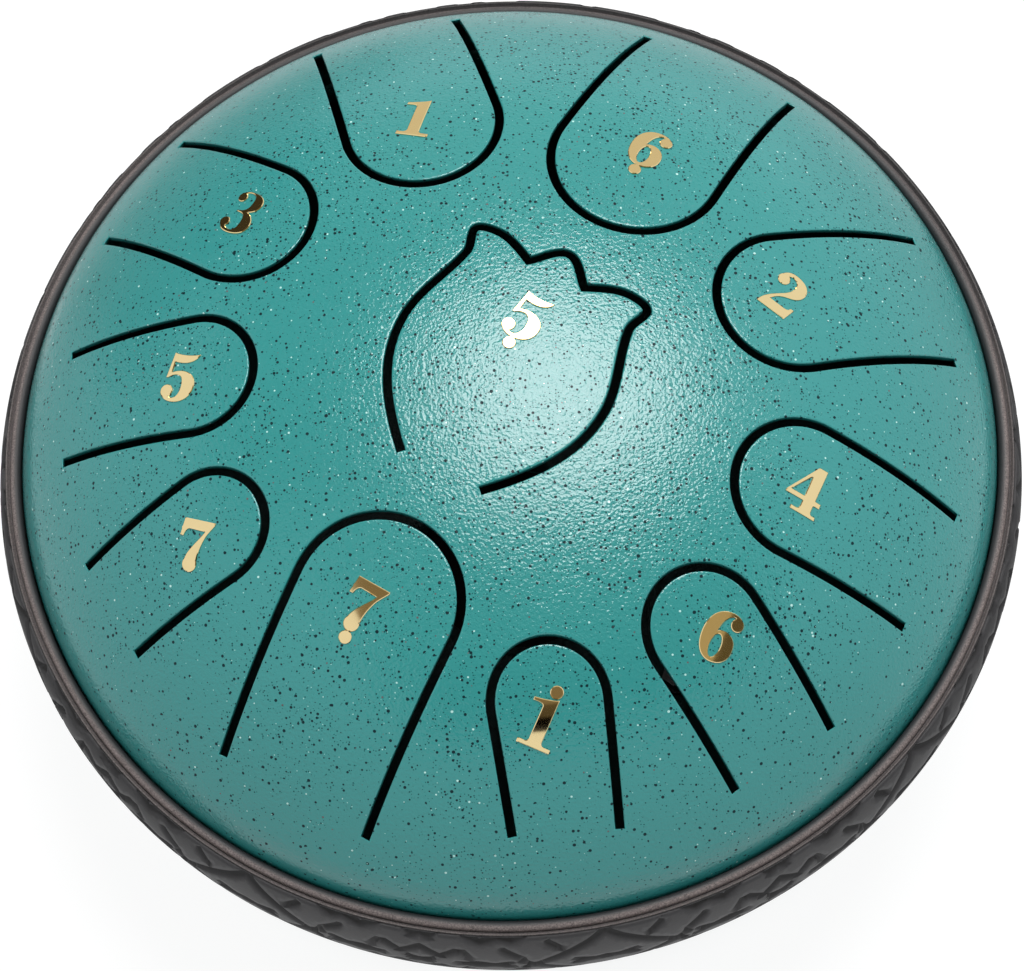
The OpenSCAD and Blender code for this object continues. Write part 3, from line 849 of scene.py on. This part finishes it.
def bandSection(halfHigh):
    # radius, height and share of the lighter dusty lip colour from the tread's top edge over the lip, down
    # the bore and back below
    bore = bowl["shellRadius"] + band["gap"]
    lipTop, lip = halfHigh + band["lipUp"], band["lipWidth"] / 2
    section = [(bore + out, halfHigh + up, dustAndShade) for out, up, dustAndShade in band["ridge"]]
    first, full = band["lipDustAndShade"]
    for k in range(band["lipSteps"] + 1):
        angle = math.pi * k / band["lipSteps"]
        out = lip + lip * math.cos(angle)
        dustAndShade = min(max((out - first) / (full - first), 0), 1) if k else band["lipStartDustAndShade"]
        section.append((bore + out, lipTop - lip + lip * math.sin(angle), dustAndShade))
    slotHigh = bowl["sheet"] + band["gap"]
    slotOut = bore + bowl["flangeWidth"]
    section += [(bore, halfHigh * share, 0) for share in band["boreRows"]]
    section += [(bore, slotHigh, 0), (slotOut, slotHigh, 0)]
    return section + [(r, -z, dustAndShade) for r, z, dustAndShade in section[::-1]]


def bandTile():
    radius, bulge = band["outerRadius"], band["bulge"]
    half, halfHigh = radius * band["tileTurn"] / 2, band["height"] / 2
    lines = reliefLines(half)
    flat = treadPoints(lines, half, halfHigh)
    faces = turnedOneWay(flat, triangulate(flat), least=1e-6).tolist()

    w, floorShare = band["reliefWidth"] / 2, band["reliefFloor"]
    rise = np.clip((distanceToLines(flat, lines) - floorShare * w) / (2 * floorShare * w), 0, 1)
    groove = 1 - rise ** 2 * (3 - 2 * rise)
    depth = band["reliefDepth"] * groove
    arcRadius = (halfHigh ** 2 + bulge ** 2) / (2 * bulge)
    nz = flat[:, 1] / arcRadius
    r = np.sqrt(arcRadius ** 2 - flat[:, 1] ** 2) - arcRadius + radius - depth * np.sqrt(1 - nz ** 2)
    z = flat[:, 1] - depth * nz
    onEdge = np.abs(np.abs(flat[:, 1]) - halfHigh) < 1e-6
    r = np.where(onEdge, np.maximum(r, radius - bulge - band["edgeSink"]), r)
    z = np.where(onEdge, flat[:, 1], z)
    points = [aroundAxis(r, flat[:, 0] / radius, z)]
    grooves, dustAndShadeValues = [groove], [0 * groove]

    def edgeRow(height):
        return [int(np.argmin(np.hypot(flat[:, 0] - x * radius, flat[:, 1] - height))) for x in turns]

    turns = np.linspace(-half, half, band["columns"] + 1) / radius
    rows, start = [edgeRow(halfHigh)], len(flat)
    for r, z, dustAndShade in bandSection(halfHigh):
        points.append(aroundAxis(r, turns, z))
        grooves.append(0 * turns)
        dustAndShadeValues.append(0 * turns + dustAndShade)
        rows.append(list(range(start, start + len(turns))))
        start += len(turns)
    rows.append(edgeRow(-halfHigh))
    for a, b in zip(rows[:-1], rows[1:]):
        faces += [(a[i], a[i + 1], b[i + 1], b[i]) for i in range(band["columns"])]
    return np.vstack(points), faces, np.concatenate(grooves), np.concatenate(dustAndShadeValues)


def repeatTree():
    tree = bpy.data.node_groups.new("repeat round the drum", "GeometryNodeTree")
    sockets = {"Tile": "Geometry", "Repeats": "Int", "Tile turn": "Float", "First turn": "Float",
               "Weld distance": "Float", "Material": "Material"}
    for name, kind in sockets.items():
        tree.interface.new_socket(name, in_out="INPUT", socket_type="NodeSocket" + kind)
    tree.interface.new_socket("Band", in_out="OUTPUT", socket_type="NodeSocketGeometry")
    given = addNode(tree, "NodeGroupInput").outputs
    line = addNode(tree, "GeometryNodeMeshLine", {
        "Count": given["Repeats"], "Offset": (0, 0, 0)}, mode="OFFSET")
    index = addNode(tree, "GeometryNodeInputIndex").outputs[0]
    turn = addMath(tree, "MULTIPLY_ADD", index, given["Tile turn"], given["First turn"])
    angles = addNode(tree, "ShaderNodeCombineXYZ", {"Z": turn})
    place = addNode(tree, "GeometryNodeInstanceOnPoints", {
        "Points": line.outputs["Mesh"], "Instance": given["Tile"], "Rotation": angles.outputs[0]})
    real = addNode(tree, "GeometryNodeRealizeInstances", {0: place.outputs[0]})
    weld = addNode(tree, "GeometryNodeMergeByDistance", {
        "Geometry": real.outputs[0], "Distance": given["Weld distance"]})
    finish = addNode(tree, "GeometryNodeSetMaterial", {
        "Geometry": weld.outputs[0], "Material": given["Material"]})
    addNode(tree, "NodeGroupOutput", {0: finish.outputs[0]})
    return tree


def setInputs(modifier, values):
    for item in modifier.node_group.interface.items_tree:
        if item.in_out == "INPUT" and item.name in values:
            modifier[item.identifier] = values[item.name]


def bakePiece(source, name):
    graph = bpy.context.evaluated_depsgraph_get()
    mesh = bpy.data.meshes.new_from_object(source.evaluated_get(graph))
    mesh.name = name
    bpy.data.objects.remove(source)
    for polygon in mesh.polygons:
        polygon.use_smooth = True
    return addObject(name, mesh)


tilePoints, tileFaces, tileGroove, tileDustAndShade = bandTile()
tile = newPiece("bandTile", tilePoints, tileFaces, bandRubber)
storeOnPoints(tile, "groove", tileGroove)
storeOnPoints(tile, "dustAndShade", tileDustAndShade)
modifier = tile.modifiers.new("repeat", "NODES")
modifier.node_group = repeatTree()
setInputs(modifier, {
    "Repeats": band["repeats"], "Tile turn": band["tileTurn"],
    "First turn": band["firstTurn"] + band["tileTurn"] / 2,
    "Weld distance": band["weldDistance"] * mm, "Material": bandRubber,
})
rimBand = bakePiece(tile, "rimBandRelief")
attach(rimBand, body)
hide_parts("rubber_band")
print("rubber band", len(rimBand.data.polygons), "faces")


# Numerals: thin gold plates bent to the dome

numerals = {
    "height": 12.3,
    "thickness": 0.3,
    "glue": 0.05,
    "dotRadius": 1.55,
    "dotDrop": 7.6,
    "middleShare": 0.35,
    "curveSteps": 12,
    "roundSteps": 56,
    "outlineStep": 0.5,
    "fillStep": 0.9,
    "fillRoom": 0.6,       # steps that the fill keeps from the outlines
    "edge": 0.17,          # width and drop of the slope along the top edge
    "edgeDrop": 0.12,
}
digitShapes = {  # outline start, outline, round ends, hole; shares of a digit's height
    "1": ((0.01, 0), [(0.66, 0), (0.66, 0.08), (0.53, 0.08), (0.49, 0.085, 0.46, 0.11, 0.46, 0.15),
        (0.46, 1), (0.335, 0.945, 0.145, 0.91, 0, 0.895), (0, 0.835), (0.12, 0.835),
        (0.16, 0.835, 0.21, 0.82, 0.21, 0.78), (0.21, 0.15), (0.21, 0.11, 0.18, 0.085, 0.14, 0.08),
        (0.01, 0.08)],
        [], None),
    "2": ((0, 0), [(0.63, 0), (0.69, 0.29), (0.62, 0.29), (0.59, 0.22, 0.56, 0.21, 0.5, 0.21), (0.18, 0.21),
        (0.25, 0.36, 0.35, 0.41, 0.5, 0.47), (0.63, 0.53, 0.69, 0.62, 0.69, 0.74),
        (0.69, 0.91, 0.53, 1, 0.34, 1), (0.16, 1, 0.06, 0.9, 0.06, 0.76), (0.2, 0.86),
        (0.25, 0.93, 0.44, 0.93, 0.44, 0.74), (0.44, 0.58, 0.33, 0.5, 0.2, 0.36),
        (0.09, 0.25, 0, 0.12, 0, 0)],
        [(0.16, 0.76, 0.127)], None),
    "3": ((0.07, 0.83), [(0.07, 0.94, 0.15, 1, 0.31, 1), (0.55, 1, 0.69, 0.91, 0.69, 0.76),
        (0.69, 0.64, 0.6, 0.56, 0.48, 0.53), (0.63, 0.49, 0.71, 0.38, 0.71, 0.25),
        (0.71, 0.085, 0.55, 0, 0.34, 0), (0.14, 0, 0.02, 0.095, 0.02, 0.22), (0.17, 0.14),
        (0.24, 0.05, 0.45, 0.02, 0.455, 0.25), (0.455, 0.39, 0.435, 0.47, 0.34, 0.49), (0.22, 0.505),
        (0.22, 0.54), (0.415, 0.54, 0.455, 0.63, 0.455, 0.76), (0.455, 0.915, 0.395, 0.965, 0.3, 0.965),
        (0.24, 0.965, 0.21, 0.95, 0.19, 0.93)],
        [(0.11, 0.22, 0.11), (0.15, 0.83, 0.105)], None),
    "4": ((0.43, 1), [(0.615, 1), (0.615, 0.355), (0.74, 0.355), (0.74, 0.26), (0.615, 0.26), (0.615, 0.13),
        (0.615, 0.09, 0.64, 0.07, 0.67, 0.07), (0.74, 0.07), (0.74, 0), (0.205, 0), (0.205, 0.07),
        (0.305, 0.07), (0.345, 0.07, 0.375, 0.09, 0.375, 0.13), (0.375, 0.26), (0, 0.26), (0, 0.305)],
        [],
        ((0.375, 0.775), [(0.375, 0.355), (0.085, 0.355)])),
    "5": ((0.1, 1), [(0.24, 0.95, 0.485, 0.95, 0.67, 1), (0.64, 0.87, 0.485, 0.795, 0.33, 0.795),
        (0.26, 0.795, 0.21, 0.8, 0.16, 0.815), (0.155, 0.585), (0.25, 0.645, 0.4, 0.65, 0.495, 0.62),
        (0.64, 0.575, 0.71, 0.475, 0.71, 0.34), (0.71, 0.13, 0.535, 0, 0.32, 0),
        (0.14, 0, 0.02, 0.09, 0.02, 0.205), (0.2, 0.11), (0.31, 0.03, 0.43, 0.12, 0.43, 0.3),
        (0.43, 0.455, 0.385, 0.55, 0.27, 0.55), (0.2, 0.55, 0.15, 0.52, 0.09, 0.48), (0.05, 0.48)],
        [(0.135, 0.205, 0.134)], None),
    "6": ((0, 0.49), [(0, 0.8, 0.175, 1, 0.44, 1), (0.605, 1, 0.7, 0.92, 0.7, 0.815), (0.56, 0.9),
        (0.495, 0.965, 0.37, 0.92, 0.31, 0.715), (0.275, 0.58), (0.33, 0.625, 0.44, 0.635, 0.515, 0.605),
        (0.64, 0.56, 0.695, 0.45, 0.695, 0.315), (0.695, 0.12, 0.555, 0, 0.35, 0),
        (0.145, 0, 0, 0.18, 0, 0.49)],
        [(0.595, 0.815, 0.128)],
        ((0.233, 0.31), [(0.233, 0.435, 0.28, 0.535, 0.34, 0.535), (0.4, 0.535, 0.447, 0.435, 0.447, 0.31),
        (0.447, 0.185, 0.4, 0.085, 0.34, 0.085), (0.28, 0.085, 0.233, 0.185, 0.233, 0.31)])),
    "7": ((0.03, 1), [(0.695, 1), (0.695, 0.96), (0.64, 0.855, 0.555, 0.755, 0.525, 0.63),
        (0.485, 0.51, 0.465, 0.385, 0.465, 0.2), (0.195, 0.17), (0.195, 0.325, 0.27, 0.425, 0.365, 0.57),
        (0.435, 0.67, 0.495, 0.755, 0.515, 0.805), (0.19, 0.815), (0.125, 0.81, 0.095, 0.755, 0.075, 0.66),
        (0, 0.66)],
        [(0.33, 0.16, 0.154)], None),
}
numeralPlaces = {  # node: digit, side of the octave dot, direction, share of the bowl's radius, turn
    "numeral_low_5": ("5", -1, 55.9, 0.100, -36),
    "numeral_low_6": ("6", -1, 55.0, 0.573, -31.6),
    "numeral_low_7": ("7", -1, -123.5, 0.551, -35.4),
    "numeral_1": ("1", 0, 102.0, 0.600, -19.2),
    "numeral_2": ("2", 0, 12.7, 0.583, -39.8),
    "numeral_3": ("3", 0, 140.0, 0.645, -34.6),
    "numeral_4": ("4", 0, -26.2, 0.633, -29.0),
    "numeral_5": ("5", 0, 174.3, 0.636, -19.5),
    "numeral_6": ("6", 0, -56.4, 0.672, -26.5),
    "numeral_7": ("7", 0, -155.3, 0.685, -21.3),
    "numeral_high_1": ("1", 1, -88.0, 0.701, -27.8),
}


def closedLoop(points):
    if np.linalg.norm(points[0] - points[-1]) < 1e-9:
        points = points[:-1]
    return evenLine(np.vstack([points, points[:1]]), numerals["outlineStep"])[:-1]


def circleLoop(centre, radius):
    angles = roundAngles(numerals["roundSteps"])
    return np.array(centre) + radius * np.stack([np.cos(angles), np.sin(angles)], 1)


def numeralPlan(digit, dotSide):
    size, steps = numerals["height"], numerals["curveSteps"]
    start, outline, balls, hole = digitShapes[digit]
    shift = -size * np.array([numerals["middleShare"], 0.5])
    solid = [closedLoop(chain(start, outline, steps) * size + shift)]
    solid += [circleLoop(shift + size * np.array([x, y]), size * radius) for x, y, radius in balls]
    if dotSide:
        solid.append(circleLoop((0, dotSide * numerals["dotDrop"]), numerals["dotRadius"]))
    cut = [closedLoop(chain(*hole, steps) * size + shift)] if hole else []
    return solid, cut


def triangulateUnion(solid, cut):
    # crossing outlines are cut where they meet, so new points appear on them
    flat, step = np.vstack(solid + cut), numerals["fillStep"]
    low, high = flat.min(0), flat.max(0)
    away = distanceFrom(flat)
    fill = [(x, y) for x in np.arange(low[0], high[0], step) for y in np.arange(low[1], high[1], step)
            if away(x, y) > numerals["fillRoom"] * step]
    points = [Vector(p) for p in np.vstack([flat, fill])]
    made = delaunay_2d_cdt(points, loopEdges(solid + cut, 0), [], 0, 1e-5, False)
    points, tris = np.array([tuple(p) for p in made[0]]), np.array(made[2])
    middle = points[tris].mean(1)
    keep = np.any([insideLoop(middle, loop) for loop in solid], 0)
    for loop in cut:
        keep &= ~insideLoop(middle, loop)
    tris = turnedOneWay(points, tris[keep], least=1e-9)
    used = np.unique(tris)
    number = {int(v): i for i, v in enumerate(used)}
    return points[used], [[number[int(v)] for v in t] for t in tris]


def buildNumeral(node, digit, dotSide, direction, share, turn):
    # where the numeral stands on the dome, and its own right and up
    angle = math.radians(direction)
    centre, normal, along, side = spotOnDome(share * bowl["shellRadius"], angle)
    spin = math.radians(turn) - angle
    c, s = math.cos(spin), math.sin(spin)
    right, up = c * along + s * side, -s * along + c * side

    # its plan, and which way is out at each point of its rim
    flat, tris = triangulateUnion(*numeralPlan(digit, dotSide))
    edges = {(a, b) for t in tris for a, b in zip(t, t[1:] + t[:1])}
    rim = sorted((a, b) for a, b in edges if (b, a) not in edges)
    outward = np.zeros_like(flat)
    for a, b in rim:
        outward[[a, b]] += unit(np.array([flat[b, 1] - flat[a, 1], flat[a, 0] - flat[b, 0]]))
    outward = unit(outward)
    outward = outward[:, :1] * right + outward[:, 1:] * up

    # face, underside and the ring between the sloped edge and the upright one
    base = centre + flat[:, :1] * right + flat[:, 1:] * up
    glue, top = numerals["glue"], numerals["glue"] + numerals["thickness"]
    topSide = dropOnDome(base - numerals["edge"] * outward, normal, top)
    lowSide = dropOnDome(base, normal, glue)
    ring = sorted({a for a, _ in rim})
    ringSide = dropOnDome(base, normal, top - numerals["edgeDrop"])[ring]
    n = len(flat)
    at = {v: 2 * n + i for i, v in enumerate(ring)}
    faces = tris + [[i + n for i in t[::-1]] for t in tris]
    faces += [(a, at[a], at[b], b) for a, b in rim] + [(at[a], a + n, b + n, at[b]) for a, b in rim]
    name = node.replace("numeral", "goldNumeral")
    piece = newPiece(name, np.vstack([topSide, lowSide, ringSide]), faces, goldMetal)

    # normals by corner, so that face, slope and wall each look flat
    skin = skinNormals(topSide)
    under = np.concatenate([np.arange(n), np.arange(n), ring])
    ways = []
    for polygon in piece.data.polygons:
        corners = np.array(polygon.vertices)
        spots = under[corners]
        if corners.max() < n:
            way = skin[spots]
        elif corners.min() < n:
            way = outward[spots] + skin[spots]
        elif corners.max() >= 2 * n:
            way = outward[spots]
        else:
            way = -skin[spots]
        ways += [tuple(w) for w in unit(way)]
    piece.data.normals_split_custom_set(ways)
    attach(piece, body)
    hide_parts(node)


for node, place in numeralPlaces.items():
    buildNumeral(node, *place)
print("numerals made:", len(numeralPlaces))


# Feet and fasteners keep their solids

finishes = {  # the first of these words in a node's name gives its finish
    "shell": tealPaint, "band": bandRubber, "numeral": goldMetal, "inner": shadedInnerZinc, "nuts": shadedInnerZinc,
    "screws": zincSteel, "washers": zincSteel, "foot": footRubber,
}
for node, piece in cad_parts.items():
    finish = next(finish for word, finish in finishes.items() if word in node)
    piece.data.materials.clear()
    piece.data.materials.append(finish)
print("solids finished")


# Camera, fitted to the drum in the photograph

view = {
    "distance": 0.8614,
    "elevation": math.radians(67.43),
    "pan": math.radians(0.012),
    "tilt": math.radians(-0.641),
    "roll": math.radians(-4.68),
    "lens": 124.03,
    "sensor": 36,
    "clip": (0.01, 30),
    "aimHeight": 0.08437,
}


def placeCamera():
    c, s = math.cos(view["elevation"]), math.sin(view["elevation"])
    eye = Vector((0, -c, s)) * view["distance"]
    forward = -eye.normalized()
    right = Vector((1, 0, 0))
    up = right.cross(forward)
    forward = (forward + math.tan(view["pan"]) * right + math.tan(view["tilt"]) * up).normalized()
    right = forward.cross(up).normalized()
    up = right.cross(forward)
    c, s = math.cos(view["roll"]), math.sin(view["roll"])
    right, up = c * right + s * up, -s * right + c * up
    camera = addObject("camera", bpy.data.cameras.new("camera"))
    turn = Matrix((right, up, -forward)).transposed().to_4x4()
    camera.matrix_world = Matrix.Translation(eye + Vector((0, 0, view["aimHeight"]))) @ turn
    camera.data.lens = view["lens"]
    camera.data.sensor_width = view["sensor"]
    camera.data.clip_start, camera.data.clip_end = view["clip"]
    bpy.context.scene.camera = camera


placeCamera()
print("camera placed")


# Floor and studio light

studio = {
    "worldColour": (0.80, 0.80, 0.80, 1),
    "ambient": 0.525,
    "floorSize": 6.0,
    "floorRoughness": 0.9,
    "floorColour": (0.80, 0.80, 0.80, 1),
    "floorForLens": (0.18, 0.18, 0.18, 1),   # with the glow this is white, and still takes a shadow
    "floorShade": (0.01, 0.01, 0.01, 1),
    "floorGlow": 0.90,
    "underDrum": (0.045, 0.118),   # painted shadow under the drum: the floor is dark near the axis and brightens between these distances from the drum's axis
    "target": (0, 0, 0.12),        # what lamp and wall cards face
    "lights": [  # name, direction, elevation, distance, size, power
        ("key softbox", 68, 70, 1.31, 0.79, 16.4),
    ],
    "flatCards": [  # name, height, left, right, front, back, colour
        ("far ceiling", 1.90, -2.60, 2.60, 2.20, 6.50, (0.78, 0.73, 0.64)),
        ("dim ceiling back", 1.89, -1.60, 1.10, 0.18, 2.20, (0.25, 0.20, 0.13)),
        ("dim ceiling front", 1.88, -0.73, 1.30, -1.20, 0.18, (0.25, 0.20, 0.13)),
        ("grey panel", 1.87, 0.84, 1.22, -1.10, -0.42, (0.50, 0.42, 0.27)),
        ("dark panel right", 1.86, 1.20, 1.46, -1.34, -0.36, (0.11, 0.09, 0.05)),
        ("dark panel front", 1.85, -0.73, 1.46, -1.34, -1.14, (0.10, 0.08, 0.05)),
        ("black panel front", 1.84, -0.73, 1.46, -1.48, -1.29, (0, 0, 0)),
        ("dim floor back", 0.001, -0.90, 0.90, 0.14, 1.20, (0.62, 0.62, 0.62)),
        # painted shadow: these two dark cards stand for the drum's shadow on the floor beside it, seen only
        # in reflections
        ("dark floor right", 0.002, 0.17, 0.30, -0.18, 0.15, (0.05, 0.05, 0.05)),
        ("dark floor left", 0.002, -0.29, -0.17, -0.18, 0.11, (0.05, 0.05, 0.05)),
    ],
    "wallCards": [  # name, direction, elevation, distance, width, height, colour
        ("back left wall", 128, 11, 3.4, 2.6, 2.2, (0.28, 0.27, 0.24)),
        ("dark panel back", 121, 22, 3.2, 1.0, 0.8, (0.05, 0.04, 0.025)),
        ("low panel back left", 122, -11, 0.34, 0.30, 0.12, (0.34, 0.33, 0.31)),
    ],
}


def whiteForLens(tree, lit, seen):
    # lit is what lights the drum, seen is what the lens and mirrors get
    path = addNode(tree, "ShaderNodeLightPath").outputs
    direct = addMath(tree, "MAXIMUM", path["Is Camera Ray"], path["Is Glossy Ray"])
    direct = addMath(tree, "MAXIMUM", direct, path["Is Transmission Ray"])
    return addNode(tree, "ShaderNodeMixShader", {0: direct, 1: lit, 2: seen}).outputs[0]


def addPlate(name, width, height, material, place):
    w, h = width / 2 / mm, height / 2 / mm
    corners = np.array([(-w, -h, 0), (w, -h, 0), (w, h, 0), (-w, h, 0)], float)
    plate = newPiece(name, corners, [(0, 1, 2, 3)], material, smooth=False)
    plate.data.transform(place)
    return plate


def addCard(name, width, height, colour, place):
    # a glowing card that shows only where something is glossy
    material, tree, shader, _ = startMaterial(name)
    tree.nodes.remove(shader)
    glow = addNode(tree, "ShaderNodeEmission", {"Color": (*colour, 1)})
    fillInputs(tree, tree.nodes["Material Output"], {"Surface": glow.outputs[0]})
    card = addPlate(name, width, height, material, place)
    card.visible_camera = card.visible_diffuse = card.visible_shadow = False


def makeWorld():
    world = bpy.data.worlds.new("studio")
    bpy.context.scene.world = world
    world.use_nodes = True
    tree = world.node_tree
    plain = tree.nodes["Background"]
    fillInputs(tree, plain, {"Color": studio["worldColour"], "Strength": studio["ambient"]})
    white = addNode(tree, "ShaderNodeBackground", {"Color": (1, 1, 1, 1), "Strength": 1.0})
    surface = whiteForLens(tree, plain.outputs[0], white.outputs[0])
    fillInputs(tree, tree.nodes["World Output"], {"Surface": surface})


def makeFloor():
    material, tree, shader, place = startMaterial("pale floor")
    # painted shadow: towards the drum's axis the floor's colour fades to the dark floor shade and its glow
    # fades out
    fade = addRange(tree, addVectorMath(tree, "LENGTH", "Value", place), studio["underDrum"])
    fillInputs(tree, shader, {
        "Roughness": studio["floorRoughness"],
        "Base Color": addMix(tree, fade, studio["floorShade"], studio["floorColour"]),
    })
    glow = addNode(tree, "ShaderNodeEmission", {
        "Strength": addMath(tree, "MULTIPLY", fade, studio["floorGlow"])})
    matt = addNode(tree, "ShaderNodeBsdfDiffuse", {
        "Color": addMix(tree, fade, studio["floorShade"], studio["floorForLens"])})
    both = addNode(tree, "ShaderNodeAddShader", {0: matt.outputs[0], 1: glow.outputs[0]})
    surface = whiteForLens(tree, shader.outputs[0], both.outputs[0])
    fillInputs(tree, tree.nodes["Material Output"], {"Surface": surface})
    floor = addPlate("floor", studio["floorSize"], studio["floorSize"], material, Matrix())


def facingDrum(direction, elevation, distance):
    turn, rise = math.radians(direction), math.radians(elevation)
    way = Vector((math.cos(turn) * math.cos(rise), math.sin(turn) * math.cos(rise), math.sin(rise)))
    place = Matrix.Translation(Vector(studio["target"]) + distance * way)
    return place @ way.to_track_quat("Z", "Y").to_matrix().to_4x4()


makeWorld()
makeFloor()
for name, direction, elevation, distance, size, power in studio["lights"]:
    lamp = bpy.data.lights.new(name, "AREA")
    lamp.shape = "DISK"
    lamp.size, lamp.energy = size, power
    addObject(name, lamp).matrix_world = facingDrum(direction, elevation, distance)
for name, up, left, right, front, back, colour in studio["flatCards"]:
    place = Matrix.Translation(((left + right) / 2, (front + back) / 2, up))
    addCard(name, right - left, back - front, colour, place)
for name, direction, elevation, distance, width, height, colour in studio["wallCards"]:
    addCard(name, width, height, colour, facingDrum(direction, elevation, distance))
bpy.context.scene.view_settings.view_transform = "Standard"
print("studio set")
